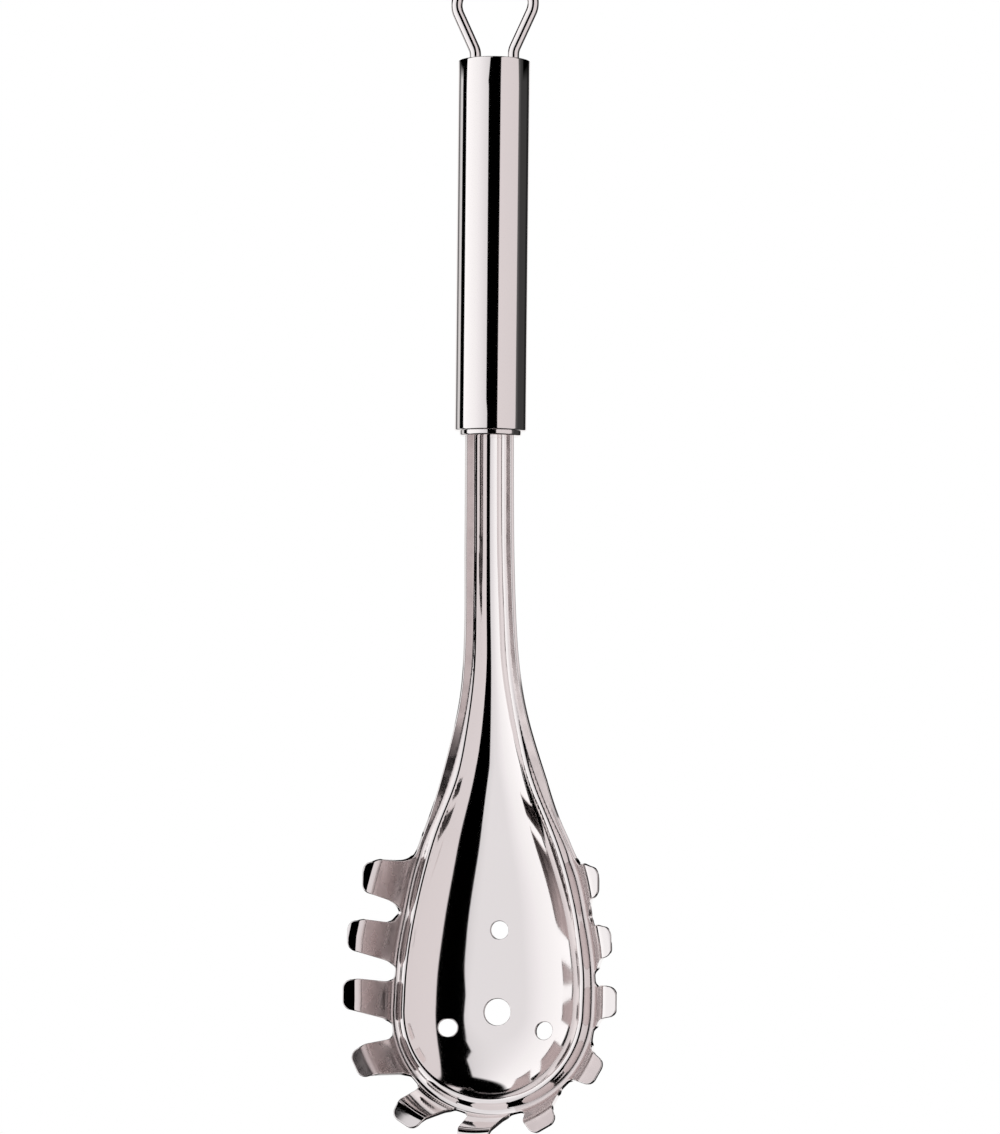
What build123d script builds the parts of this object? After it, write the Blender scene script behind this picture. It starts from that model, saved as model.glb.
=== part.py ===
"""Pasta server in polished stainless steel, with a hollow round handle and a wire loop.

Millimetres. The origin is the point that hangs on a hook, inside the top of the loop.
Z runs up along the handle, X across it, and the hollow of the bowl faces -Y.
"""
from build123d import *
from math import atan2, cos, radians, sin, tan
import os

# Handle tube
handle_diameter = 20.0
handle_wall = 1.0
handle_length = 102.4
tube_end_round = 0.4

# Caps in the two ends of the tube
cap_thickness = 3.0
cap_fit = 0.02
lip_setback = 1.4
lip_height = 1.4
lip_round = 0.5
slot_clearance = 0.05

# Hanging loop, bent from round wire: corners of its centre line above the tube's end
wire_diameter = 3.2
loop_leg_margin = 2.0
loop_leg_inside = 6.0
loop_leg_rise = 2.9
loop_shoulder_width = 23.4
loop_shoulder_rise = 16.4
loop_peak_rise = 33.5
loop_leg_bend = 5.0
loop_shoulder_bend = 6.0
loop_peak_bend = 8.0
leg_clearance = 0.05

# Sheet that the bowl, its teeth and the neck are pressed from
sheet = 1.2
crest_bend = 1.4
valley_bend = 1.5
flare_bend = 3.2
neck_valley_bend = 0.8
tang_length = 20.0
neck_margin = 1.96

# Bowl, from the drain hole in its middle up to the handle's lower cap
neck_run = 160.8
setback = 18.2
bowl_tilt = 9.0
crest_width = 51.4
crest_height = 7.9

# Teeth, on a ring and, above the drain hole, in two straight rows
tooth_ring = 28.8
tooth_length = 9.8
tooth_root_width = 10.8
tooth_tip_width = 7.6
tooth_pitch_angle = 31.2
tooth_pitch = 16.0
top_tooth_extra = 1.2
tooth_tip_round = 1.6
tooth_gap_round = 2.3

# Drain holes
large_hole_diameter = 7.5
small_hole_diameter = 5.0
side_hole_offset = 13.8
side_hole_drop = 4.9
top_hole_rise = 22.9

# One overrun for every cut, and half a turn in degrees
overrun = 40.0
half_turn = 180

# Stations from the drain hole up to the cap: heights as shares of the neck's run, depths
# behind the handle's axis as shares of the setback, and the lean of each section.
crown_height_shares = (0.0, 0.049, 0.111, 0.178, 0.2705)
crown_depth_shares = (0.901, 0.962, 0.995, 1.0, 0.920)
crown_leans = (bowl_tilt, 6.0, 3.0, -1.5, -6.0)
neck_height_shares = (0.2705, 0.321, 0.407, 0.476, 0.546, 0.612, 0.684, 0.787, 0.8905, 1.0)
neck_depth_shares = (0.920, 0.819, 0.659, 0.555, 0.462, 0.374, 0.286, 0.187, 0.132, 0.099)
neck_leans = (-6.0, -9.0, -10.5, -9.5, -8.5, -8.0, -7.0, -4.5, -2.5, 0.0)

# Half of the front outline at each station: dish corner, crest, valley, flare and edge.
# Widths are shares of half the crest's width, heights are shares of its height.
crown_section_shares = (
    ((0.672, 0.0), (1.000, 1.000), (1.126, 0.557), (1.323, 2.987), (1.533, 3.152)),
    ((0.668, 0.0), (0.998, 1.000), (1.123, 0.570), (1.323, 3.152), (1.533, 3.316)),
    ((0.634, 0.0), (0.963, 1.000), (1.089, 0.582), (1.300, 3.367), (1.510, 3.532)),
    ((0.579, 0.0), (0.895, 0.962), (1.016, 0.582), (1.214, 3.367), (1.424, 3.532)),
    ((0.463, 0.0), (0.751, 0.873), (0.872, 0.570), (1.066, 3.076), (1.268, 3.241)),
)
neck_section_shares = (
    ((0.463, 0.0), (0.751, 0.873), (0.872, 0.570), (0.984, 2.016)),
    ((0.381, 0.0), (0.646, 0.772), (0.728, 0.595), (0.840, 0.905)),
    ((0.229, 0.0), (0.428, 0.545), (0.490, 0.420), (0.632, 0.560)),
    ((0.149, 0.0), (0.311, 0.444), (0.362, 0.395), (0.506, 0.600)),
    ((0.104, 0.0), (0.229, 0.368), (0.272, 0.355), (0.406, 0.640)),
    ((0.075, 0.0), (0.177, 0.320), (0.217, 0.328), (0.356, 0.680)),
    ((0.067, 0.0), (0.157, 0.290), (0.196, 0.303), (0.330, 0.700)),
    ((0.061, 0.0), (0.142, 0.278), (0.179, 0.290), (0.318, 0.720)),
    ((0.058, 0.0), (0.138, 0.275), (0.175, 0.287), (0.315, 0.720)),
    ((0.058, 0.0), (0.137, 0.275), (0.175, 0.287), (0.315, 0.720)),
)
# Half width of the neck's cut edge at each of its stations, as shares of half the crest's
neck_side_shares = (0.930, 0.782, 0.595, 0.468, 0.366, 0.316, 0.293, 0.282, 0.276, 0.274)
# Straight rows of teeth beside the bowl: root and tip as shares of those on the ring
row_root_shares = (1.0, 0.985, 0.895)
row_tip_shares = (1.0, 0.965, 0.862)
dish_fill_share = 0.94
bend_fill_share = 0.96

# Places worked out from the sizes above
bore_diameter = handle_diameter - 2 * handle_wall
lip_diameter = handle_diameter - 2 * lip_setback
leg_x = (bore_diameter - wire_diameter) / 2 - loop_leg_margin
shoulder_x = loop_shoulder_width / 2
peak_angle = atan2(shoulder_x, loop_peak_rise - loop_shoulder_rise)
peak_cut = loop_peak_bend * (1 / sin(peak_angle) - 1)
handle_top = wire_diameter / 2 + peak_cut - loop_peak_rise
handle_bottom = handle_top - handle_length
cap_bottom = handle_bottom - lip_height
pole_z = cap_bottom - neck_run
crest_x = crest_width / 2
# The neck's widths pass from shares of the crest's to shares that fit the handle's bore
neck_x = (bore_diameter / 2 - neck_margin) / neck_side_shares[-1]
neck_units = []
for height in neck_height_shares:
    blend = (height - neck_height_shares[0]) / (1 - neck_height_shares[0])
    neck_units.append(crest_x + (neck_x - crest_x) * blend)


def station(height_share, depth_share, lean):
    """Plane of one section of the sheet, with its Y axis towards the open side."""
    centre = (0, setback * depth_share, pole_z + neck_run * height_share)
    return Plane(centre, x_dir=(1, 0, 0), z_dir=(0, -sin(radians(lean)), -cos(radians(lean))))


def half_outline(shares, unit):
    """Corners of half a section's front, from the dish corner out to the edge."""
    return [(unit * x, crest_height * y) for x, y in shares]


def bend_radii(points, valley):
    """Radii at the dish corner, crest, valley and flare, each one within its straights."""
    runs = list(zip([(0, 0)] + points, points))
    slopes = [atan2(y2 - y1, x2 - x1) for (x1, y1), (x2, y2) in runs]
    lengths = [((x2 - x1) ** 2 + (y2 - y1) ** 2) ** 0.5 for (x1, y1), (x2, y2) in runs]
    halves = [abs(after - before) / 2 for before, after in zip(slopes, slopes[1:])]
    room = bend_fill_share * lengths[2] / (crest_bend * tan(halves[1]) + valley * tan(halves[2]))
    crest = crest_bend * min(1, room)
    dish_room = min(lengths[0], lengths[1] - crest * tan(halves[1]))
    radii = [dish_fill_share * dish_room / tan(halves[0]), crest, valley * min(1, room)]
    return radii + [flare_bend] * (len(points) - 4)


def sheet_outline(points, radii):
    """Closed outline of the sheet behind these corners, for the current sketch."""
    slopes = [atan2(y2 - y1, x2 - x1) for (x1, y1), (x2, y2) in zip(points, points[1:])]
    middles = [(a + b) / 2 for a, b in zip(slopes[:1] + slopes, slopes + slopes[-1:])]
    turns = [(b - a) / 2 for a, b in zip(slopes[:1] + slopes, slopes + slopes[-1:])]
    back = []
    for (x, y), middle, turn in zip(points, middles, turns):
        reach = sheet / cos(turn)
        back.append((x + reach * sin(middle), y - reach * cos(middle)))
    back_radii = [r + (sheet if turn > 0 else -sheet) for r, turn in zip(radii, turns[1:-1])]
    FilletPolyline(*points, radius=radii)
    FilletPolyline(*back, radius=back_radii)
    Line(points[0], back[0])
    Line(points[-1], back[-1])


def both_sides(points):
    """The corners of a half outline with their mirror images before them."""
    return [(-x, y) for x, y in reversed(points)] + points


def ring_tooth(angle):
    """Corners of one tooth that points out from the drain hole at this angle."""
    root, tip = tooth_root_width / 2, tooth_tip_width / 2
    reach = tooth_ring + tooth_length
    corners = ((tooth_ring, -root), (reach, -tip), (reach, tip), (tooth_ring, root))
    turn = radians(angle)
    return [(u * cos(turn) - w * sin(turn), u * sin(turn) + w * cos(turn)) for u, w in corners]


def row_tooth(number):
    """Corners of one tooth of the straight row on the right, counted from the drain hole."""
    middle = row_start + tooth_pitch * number
    root_x = tooth_ring * row_root_shares[number]
    tip_x = (tooth_ring + tooth_length) * row_tip_shares[number]
    extra = top_tooth_extra if number == len(row_root_shares) - 1 else 0
    root, tip = tooth_root_width / 2, tooth_tip_width / 2
    return [(root_x, middle - root), (tip_x, middle - tip), (tip_x, middle + tip),
            (root_x, middle + root + extra)]


def cut_sheet(section_plane, points, radii):
    """Sketch of the sheet's cut section on this plane."""
    with BuildSketch(section_plane, mode=Mode.PRIVATE) as section:
        with BuildLine():
            sheet_outline(both_sides(points), radii[::-1] + radii)
        make_face()
    return section.sketch


# The ring has its first tooth straight down; the row starts one step on from its last
first_angle = -90
ring_teeth_each_side = 2
row_angle = first_angle + (ring_teeth_each_side + 1) * tooth_pitch_angle
row_start = tooth_ring * sin(radians(row_angle))
rim_plane = Plane((0, setback * crown_depth_shares[0], pole_z), x_dir=(1, 0, 0),
                  z_dir=(0, -cos(radians(bowl_tilt)), sin(radians(bowl_tilt))))

# Bowl: the lower half is turned about the drain hole's axis, the upper half is lofted
first_points = half_outline(crown_section_shares[0], crest_x)
first_radii = bend_radii(first_points, valley_bend)
with BuildPart() as bowl:
    with BuildSketch(station(crown_height_shares[0], crown_depth_shares[0], crown_leans[0])):
        with BuildLine():
            sheet_outline([(0, 0)] + first_points, first_radii)
        make_face()
    revolve(axis=Axis(rim_plane.origin, -rim_plane.z_dir), revolution_arc=half_turn)
    for height, depth, lean, shares in zip(
            crown_height_shares, crown_depth_shares, crown_leans, crown_section_shares):
        points = half_outline(shares, crest_x)
        add(cut_sheet(station(height, depth, lean), points, bend_radii(points, valley_bend)))
    loft()
    # The teeth are what is left between the gaps
    right = ring_tooth(first_angle)[2:]
    for number in range(ring_teeth_each_side):
        right += ring_tooth(first_angle + (number + 1) * tooth_pitch_angle)
    for number in range(len(row_root_shares)):
        right += row_tooth(number)
    # Half of the lowest tooth comes first, so the corners run tip, root, root, tip
    rounds = [tooth_tip_round, tooth_gap_round, tooth_gap_round, tooth_tip_round]
    rounds = (rounds * len(right))[:len(right)]
    right_top = (right[-1][0], right[-1][1] + overrun)
    left_top = (-right_top[0], right_top[1])
    with BuildSketch(rim_plane):
        with BuildLine():
            FilletPolyline(left_top, *both_sides(right), right_top, radius=rounds[::-1] + rounds)
            Line(left_top, right_top)
        make_face()
    extrude(amount=overrun, both=True, mode=Mode.INTERSECT)

# Neck: lofted from the bowl up to the cap, its sides cut to one smooth front outline
with BuildPart() as neck:
    for height, depth, lean, shares, unit in zip(neck_height_shares, neck_depth_shares,
                                                 neck_leans, neck_section_shares, neck_units):
        points = half_outline(shares, unit)
        radii = bend_radii(points, neck_valley_bend)
        add(cut_sheet(station(height, depth, lean), points, radii))
    loft()
    sides = []
    for height, share, unit in zip(neck_height_shares, neck_side_shares, neck_units):
        sides.append((unit * share, pole_z + neck_run * height))
    side_top = (sides[-1][0], cap_bottom + tang_length)
    low_corner = (sides[0][0], sides[0][1] - overrun)
    with BuildSketch(Plane.XZ):
        with BuildLine():
            Spline(*sides)
            Line(sides[0], low_corner)
            Line(low_corner, (0, low_corner[1]))
            Line(sides[-1], side_top)
            Line(side_top, (0, side_top[1]))
            mirror(about=Plane.YZ)
        make_face()
    extrude(amount=overrun, both=True, mode=Mode.INTERSECT)

# The neck's end runs straight on through the cap, as a tang inside the handle
tang_points = half_outline(neck_section_shares[-1], neck_units[-1])
tang_radii = bend_radii(tang_points, neck_valley_bend)
tang_plane = station(neck_height_shares[-1], neck_depth_shares[-1], neck_leans[-1])
with BuildPart() as tang:
    add(cut_sheet(tang_plane, tang_points, tang_radii))
    extrude(amount=tang_length, dir=(0, 0, 1))
    with BuildSketch(Plane.XY.offset(cap_bottom)):
        Rectangle(2 * sides[-1][0], handle_diameter)
    extrude(amount=tang_length, mode=Mode.INTERSECT)

with BuildPart() as server_head:
    add(bowl.part)
    add(neck.part)
    add(tang.part)
    # Drain holes: one in the middle, one above it and one each side below
    with BuildSketch(rim_plane):
        Circle(large_hole_diameter / 2)
        with Locations((0, top_hole_rise), (-side_hole_offset, -side_hole_drop),
                       (side_hole_offset, -side_hole_drop)):
            Circle(small_hole_diameter / 2)
    extrude(amount=overrun, both=True, mode=Mode.SUBTRACT)
server_head.part.label = "server_head"

# Handle tube with softened ends
with BuildPart() as handle_tube:
    with BuildSketch(Plane.XY.offset(handle_bottom)):
        Circle(handle_diameter / 2)
        Circle(bore_diameter / 2, mode=Mode.SUBTRACT)
    extrude(amount=handle_length)
    outer_edges = handle_tube.edges().filter_by(GeomType.CIRCLE).group_by(SortBy.RADIUS)[-1]
    fillet(outer_edges, tube_end_round)
handle_tube.part.label = "handle_tube"

# Lower cap: a plug in the tube with a lip below it, slotted for the neck
cap_diameter = bore_diameter - 2 * cap_fit
with BuildPart() as lower_cap:
    with BuildSketch(Plane.XY.offset(handle_bottom)):
        Circle(cap_diameter / 2)
    extrude(amount=cap_thickness)
    with BuildSketch(Plane.XY.offset(cap_bottom)):
        Circle(lip_diameter / 2)
    extrude(amount=lip_height)
    fillet(lower_cap.faces().sort_by(Axis.Z)[0].edges(), lip_round)
    with BuildSketch(tang_plane):
        with BuildLine():
            sheet_outline(both_sides(tang_points), tang_radii[::-1] + tang_radii)
        make_face()
        offset(amount=slot_clearance, kind=Kind.INTERSECTION)
        Rectangle(2 * (sides[-1][0] + slot_clearance), handle_diameter, mode=Mode.INTERSECT)
    extrude(amount=overrun, both=True, mode=Mode.SUBTRACT)
lower_cap.part.label = "lower_cap"

# Upper cap: a plug flush with the tube's end, drilled for the legs of the loop
with BuildPart() as upper_cap:
    with BuildSketch(Plane.XY.offset(handle_top - cap_thickness)):
        Circle(cap_diameter / 2)
        with Locations((-leg_x, 0), (leg_x, 0)):
            Circle(wire_diameter / 2 + leg_clearance, mode=Mode.SUBTRACT)
    extrude(amount=cap_thickness)
upper_cap.part.label = "upper_cap"

# Hanging loop: one wire, bent at its legs, its shoulders and its peak
with BuildPart() as hanging_loop:
    right_side = [(shoulder_x, handle_top + loop_shoulder_rise),
                  (leg_x, handle_top + loop_leg_rise),
                  (leg_x, handle_top - loop_leg_inside)]
    left_side = [(-x, z) for x, z in reversed(right_side)]
    bends = [loop_leg_bend, loop_shoulder_bend]
    with BuildLine(Plane.XZ) as wire_line:
        FilletPolyline(*left_side, (0, handle_top + loop_peak_rise), *right_side,
                       radius=bends + [loop_peak_bend] + bends[::-1])
    with BuildSketch(Plane.XY.offset(handle_top - loop_leg_inside)):
        with Locations((-leg_x, 0)):
            Circle(wire_diameter / 2)
    sweep(path=wire_line.wire())
hanging_loop.part.label = "hanging_loop"

os.makedirs("parts", exist_ok=True)
for piece in (server_head, handle_tube, lower_cap, upper_cap, hanging_loop):
    export_step(piece.part, f"parts/{piece.part.label}.step")
    box = piece.part.bounding_box()
    print(piece.part.label, len(piece.part.solids()), round(piece.part.volume), box.min, box.max)
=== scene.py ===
"""Dresses the pasta server: a polished steel head, handle tube, end caps and wire loop.

The real object is welded from pressed sheet, tube and wire of stainless steel, all polished
to a mirror. It is seen in a photographer's studio with two large white panels and dark gaps
between them, on a plain white ground.
"""

import logging
import math
from dataclasses import dataclass, field
from enum import Enum
from typing import Callable, Sequence

import bmesh
import bpy
import numpy as np
from mathutils import Matrix, Vector
from mathutils.geometry import delaunay_2d_cdt


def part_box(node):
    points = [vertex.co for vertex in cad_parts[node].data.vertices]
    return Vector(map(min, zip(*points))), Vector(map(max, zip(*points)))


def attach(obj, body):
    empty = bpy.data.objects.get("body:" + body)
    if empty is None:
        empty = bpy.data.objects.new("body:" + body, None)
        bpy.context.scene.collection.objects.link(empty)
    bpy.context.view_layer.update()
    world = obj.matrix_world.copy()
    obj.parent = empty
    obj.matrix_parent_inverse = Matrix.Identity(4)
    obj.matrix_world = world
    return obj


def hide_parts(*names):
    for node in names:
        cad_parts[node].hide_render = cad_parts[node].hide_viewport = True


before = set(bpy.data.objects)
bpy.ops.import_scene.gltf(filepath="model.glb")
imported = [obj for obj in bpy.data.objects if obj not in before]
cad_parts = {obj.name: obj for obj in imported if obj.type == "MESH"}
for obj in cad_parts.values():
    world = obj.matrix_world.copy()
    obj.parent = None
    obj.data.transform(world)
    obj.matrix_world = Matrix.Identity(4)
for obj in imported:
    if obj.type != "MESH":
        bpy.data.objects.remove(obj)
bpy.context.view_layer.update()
MM = 0.001
MERGE = 1e-6
LEAST_STEPS = 3
INSIDE_BORDERS = 1
# Attribute for where the sheet stays rough and is also painted darker as shade
UNPOLISHED_AND_SHADE = "unpolished_and_shade"
LOG = logging.getLogger("pasta_server")

Point = tuple[float, float]
Socket = bpy.types.NodeSocket


def linear(code: str) -> tuple[float, float, float, float]:
    """Turns an sRGB hex colour into linear red, green, blue and alpha.

    Args:
        code: Six hex digits.

    Returns:
        The four channels, alpha 1.
    """
    parts = [int(code[i:i + 2], 16) / 255 for i in (0, 2, 4)]
    red, green, blue = (c / 12.92 if c <= 0.04045 else ((c + 0.055) / 1.055) ** 2.4 for c in parts)
    return red, green, blue, 1.0


def add_node(tree: bpy.types.NodeTree, kind: str, links: dict | None = None,
             **settings) -> bpy.types.Node:
    """Adds one node to a tree, sets its properties and values, and links its inputs.

    Args:
        tree: The node tree.
        kind: Blender's name of the node type.
        links: Input name or index to either a value or an output socket.
        **settings: The node's own properties.

    Returns:
        The new node.
    """
    node = tree.nodes.new(kind)
    for name, value in settings.items():
        setattr(node, name, value)
    for name, value in (links or {}).items():
        if isinstance(value, Socket):
            tree.links.new(value, node.inputs[name])
        else:
            node.inputs[name].default_value = value
    return node


def set_stops(ramp: bpy.types.ColorRamp, stops: Sequence[tuple[float, Sequence[float]]]) -> None:
    """Gives a colour ramp its stops, between which it changes evenly.

    Args:
        ramp: The ramp, with the two stops that it starts with.
        stops: Rising places from 0 to 1, each with its red, green and blue.
    """
    while len(ramp.elements) < len(stops):
        ramp.elements.new(0.5)
    for element, (place, level) in zip(ramp.elements, stops):
        element.position = place
        element.color = (*level, 1.0)


# The sheet's form, in millimetres, in the bowl's own frame: x across, v up along the rim and
# w out of the dish, from the middle of the large drain hole.


@dataclass(frozen=True)
class Station:
    """One section of the sheet, square to its run, as the press tool has it.

    Its place is given by shares of the neck's run and of the handle's setback, and its lean in
    degrees. Its corners are the dish's, the crest's, the valley's and the flare's: widths are
    shares of half the crest's width, heights are shares of the crest's height.
    """

    height_share: float
    depth_share: float
    lean: float
    corners: tuple[Point, ...]


CROWN = (
    Station(0.0, 0.901, 9.0, ((0.672, 0.0), (1.000, 1.000), (1.126, 0.557), (1.323, 2.987))),
    Station(0.049, 0.962, 6.0, ((0.668, 0.0), (0.998, 1.000), (1.123, 0.570), (1.323, 3.152))),
    Station(0.111, 0.995, 3.0, ((0.634, 0.0), (0.963, 1.000), (1.089, 0.582), (1.300, 3.367))),
    Station(0.178, 1.0, -1.5, ((0.579, 0.0), (0.895, 0.962), (1.016, 0.582), (1.214, 3.367))),
    Station(0.2705, 0.920, -6.0, ((0.463, 0.0), (0.751, 0.873), (0.872, 0.570), (1.066, 3.076))),
)
NECK = (
    Station(0.321, 0.819, -9.0, ((0.381, 0.0), (0.646, 0.772), (0.728, 0.595), (0.840, 0.905))),
    Station(0.407, 0.659, -10.5, ((0.229, 0.0), (0.428, 0.545), (0.490, 0.420), (0.632, 0.560))),
    Station(0.476, 0.555, -9.5, ((0.149, 0.0), (0.311, 0.444), (0.362, 0.395), (0.506, 0.600))),
    Station(0.546, 0.462, -8.5, ((0.104, 0.0), (0.229, 0.368), (0.272, 0.355), (0.406, 0.640))),
    Station(0.612, 0.374, -8.0, ((0.075, 0.0), (0.177, 0.320), (0.217, 0.328), (0.356, 0.680))),
    Station(0.684, 0.286, -7.0, ((0.067, 0.0), (0.157, 0.290), (0.196, 0.303), (0.330, 0.700))),
    Station(0.787, 0.187, -4.5, ((0.061, 0.0), (0.142, 0.278), (0.179, 0.290), (0.318, 0.720))),
    Station(0.8905, 0.132, -2.5, ((0.058, 0.0), (0.138, 0.275), (0.175, 0.287), (0.315, 0.720))),
    Station(1.0, 0.099, 0.0, ((0.058, 0.0), (0.137, 0.275), (0.175, 0.287), (0.315, 0.720))),
)
# Half the width of the neck's cut edge, from the crown's last station up
NECK_SIDES = (0.930, 0.782, 0.595, 0.468, 0.366, 0.316, 0.293, 0.282, 0.276, 0.274)


def smooth_curve(places: Sequence[float], values: Sequence[float], flat_start: bool) -> Callable:
    """Cubic spline through values at rising places, straight beyond its ends.

    Args:
        places: Rising places.
        values: The value at each place.
        flat_start: Whether the curve starts level, as where it meets a turned form.

    Returns:
        A function of an array of places.
    """
    at, val = np.array(places, float), np.array(values, float)
    gap, count = np.diff(at), len(at)
    system, right = np.zeros((count, count)), np.zeros(count)
    for i in range(1, count - 1):
        system[i, i - 1:i + 2] = 1 / gap[i - 1], 2 / gap[i - 1] + 2 / gap[i], 1 / gap[i]
        right[i] = 3 * (val[i] - val[i - 1]) / gap[i - 1] ** 2 + 3 * (val[i + 1] - val[i]) / gap[i] ** 2
    if flat_start:
        system[0, 0] = 1.0
    else:
        system[0, :2] = 2 / gap[0], 1 / gap[0]
        right[0] = 3 * (val[1] - val[0]) / gap[0] ** 2
    system[-1, -2:] = 1 / gap[-1], 2 / gap[-1]
    right[-1] = 3 * (val[-1] - val[-2]) / gap[-1] ** 2
    slope = np.linalg.solve(system, right)

    def curve(place: np.ndarray) -> np.ndarray:
        """The spline's value at each place.

        Args:
            place: Places, of any shape.

        Returns:
            The values, of the same shape.
        """
        place = np.asarray(place, float)
        i = np.clip(np.searchsorted(at, place) - 1, 0, count - 2)
        t = (place - at[i]) / gap[i]
        inside = np.clip(t, 0, 1)
        a, b, c = inside, inside ** 2, inside ** 3
        value = ((1 - 3 * b + 2 * c) * val[i] + (3 * b - 2 * c) * val[i + 1]
                 + gap[i] * ((a - 2 * b + c) * slope[i] + (c - b) * slope[i + 1]))
        beyond = (t - inside) * gap[i]
        return value + beyond * np.where(t < 0, slope[0], slope[-1])

    return curve


def rounded(points: Sequence[Point], radii: Sequence[float], step: float) -> list[Point]:
    """Points along an open line of straight runs whose corners are rounded.

    Args:
        points: The corners, with the two ends.
        radii: The radius at each inner corner.
        step: The longest distance between two points.

    Returns:
        The points in order.
    """
    arcs = []
    for before, corner, after, radius in zip(points, points[1:], points[2:], radii):
        p, c, q = Vector(before), Vector(corner), Vector(after)
        u, w = (p - c).normalized(), (q - c).normalized()
        half = u.angle(w) / 2
        reach = radius / math.tan(half)
        centre = c + (u + w).normalized() * radius / math.sin(half)
        first, last = c + u * reach - centre, c + w * reach - centre
        turn = first.angle_signed(last)
        count = max(LEAST_STEPS, math.ceil(abs(turn) * radius / step))
        angles = [-turn * i / count for i in range(count + 1)]
        arcs.append([tuple(centre + Matrix.Rotation(angle, 2) @ first) for angle in angles])
    out = [points[0]]
    for arc in arcs + [[points[-1]]]:
        a, b = Vector(out[-1]), Vector(arc[0])
        count = max(1, math.ceil((b - a).length / step))
        out += [tuple(a.lerp(b, i / count)) for i in range(1, count + 1)]
        out += arc[1:]
    return out


@dataclass(frozen=True)
class PolishedSteel:
    """Stainless steel, pressed or drawn and then polished to a mirror.

    Its slightly warm grey, and the faint waves that polishing wheels leave, are what keep its
    reflections from looking like glass. Lengths are in millimetres.
    """

    name: str
    colour: str = "F1EBEA"
    roughness: float = 0.05
    haze: float = 0.03
    wave_mm: float = 9.0
    wave_height_mm: float = 0.0012
    grain_mm: float = 0.25
    scratch_stretch: float = 4.0
    grain_levels: tuple = (0.35, 0.75)
    # Painted shade: the darker grey that the sheet takes between the teeth, on the flanges and on a few
    # teeth
    painted_shade_colour: str = "D8CCCB"
    dull_roughness: float = 0.34
    dull_least: float = 0.6
    fleck_mm: float = 5.0
    fleck_levels: tuple = (0.35, 0.6)

    def build(self) -> bpy.types.Material:
        """Makes the material.

        Returns:
            The material, with its pattern on Object coordinates.
        """
        material = bpy.data.materials.new(self.name)
        material.use_nodes = True
        tree = material.node_tree
        tree.nodes.clear()
        place = add_node(tree, "ShaderNodeTexCoord").outputs["Object"]
        # The polishing wheel's fine haze: short scratches that run round the piece
        along = add_node(tree, "ShaderNodeMapping", {
            "Vector": place, "Scale": (1.0, 1.0, self.scratch_stretch)})
        scratch = self.grain_mm * self.scratch_stretch * MM
        grain = add_node(tree, "ShaderNodeTexNoise", {
            "Vector": along.outputs[0], "Scale": 1 / scratch, "Detail": 3.0})
        haze = add_node(tree, "ShaderNodeMapRange", {
            0: grain.outputs[0], 1: self.grain_levels[0], 2: self.grain_levels[1],
            3: self.roughness, 4: self.roughness + self.haze})
        # Long shallow waves of the hand-held wheel
        waves = add_node(tree, "ShaderNodeTexNoise", {
            "Vector": place, "Scale": 1 / (self.wave_mm * MM), "Detail": 1.0})
        bump = add_node(tree, "ShaderNodeBump", {
            "Height": waves.outputs[0], "Strength": 1.0, "Distance": self.wave_height_mm * MM})
        # Where the wheel doesn't reach, between the teeth and along the flanges, the pressed
        # surface stays rougher, in flecks, and its darker grey colour there is painted shade
        dull_and_shade = add_node(tree, "ShaderNodeAttribute", attribute_name=UNPOLISHED_AND_SHADE)
        flecks = add_node(tree, "ShaderNodeTexNoise", {
            "Vector": place, "Scale": 1 / (self.fleck_mm * MM), "Detail": 2.0})
        patchy = add_node(tree, "ShaderNodeMapRange", {
            0: flecks.outputs[0], 1: self.fleck_levels[0], 2: self.fleck_levels[1],
            3: self.dull_least * self.dull_roughness, 4: self.dull_roughness})
        rough = add_node(tree, "ShaderNodeMix", {
            "Factor": dull_and_shade.outputs["Fac"], "A": haze.outputs[0], "B": patchy.outputs[0]})
        # Painted shade: the colour turns to the darker grey where the sheet stays dull
        colour = add_node(tree, "ShaderNodeMix", {
            0: dull_and_shade.outputs["Fac"], 6: linear(self.colour), 7: linear(self.painted_shade_colour)},
            data_type="RGBA")
        shader = add_node(tree, "ShaderNodeBsdfPrincipled", {
            "Base Color": colour.outputs[2], "Metallic": 1.0,
            "Roughness": rough.outputs[0], "Normal": bump.outputs[0]})
        add_node(tree, "ShaderNodeOutputMaterial", {"Surface": shader.outputs[0]})
        return material


class Finish(Enum):
    """The polished finishes, one for each stock that the server is made from."""

    SHEET = PolishedSteel("pressed_sheet_mirror_polish", wave_mm=14.0)
    TUBE = PolishedSteel("drawn_tube_mirror_polish", roughness=0.04, wave_mm=20.0)
    CAP = PolishedSteel("turned_cap_mirror_polish", roughness=0.07, wave_mm=6.0)
    WIRE = PolishedSteel("bent_wire_mirror_polish", roughness=0.05, wave_mm=5.0)

    def material(self) -> bpy.types.Material:
        """The finish's material, made once."""
        return bpy.data.materials.get(self.value.name) or self.value.build()


def add_piece(name: str, mesh: bpy.types.Mesh, finish: Finish, node: str) -> bpy.types.Object:
    """Puts a finished mesh in the scene in place of its CAD node.

    Args:
        name: The piece's name.
        mesh: Its mesh, in the row frame, in metres.
        finish: What it is finished with.
        node: The CAD node that it stands for.

    Returns:
        The new object.
    """
    piece = bpy.data.objects.new(name, mesh)
    bpy.context.scene.collection.objects.link(piece)
    if not mesh.materials:
        mesh.materials.append(finish.material())
    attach(piece, "root")
    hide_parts(node)
    LOG.info("%s: %d faces, %s", name, len(mesh.polygons), finish.value.name)
    return piece


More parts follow.
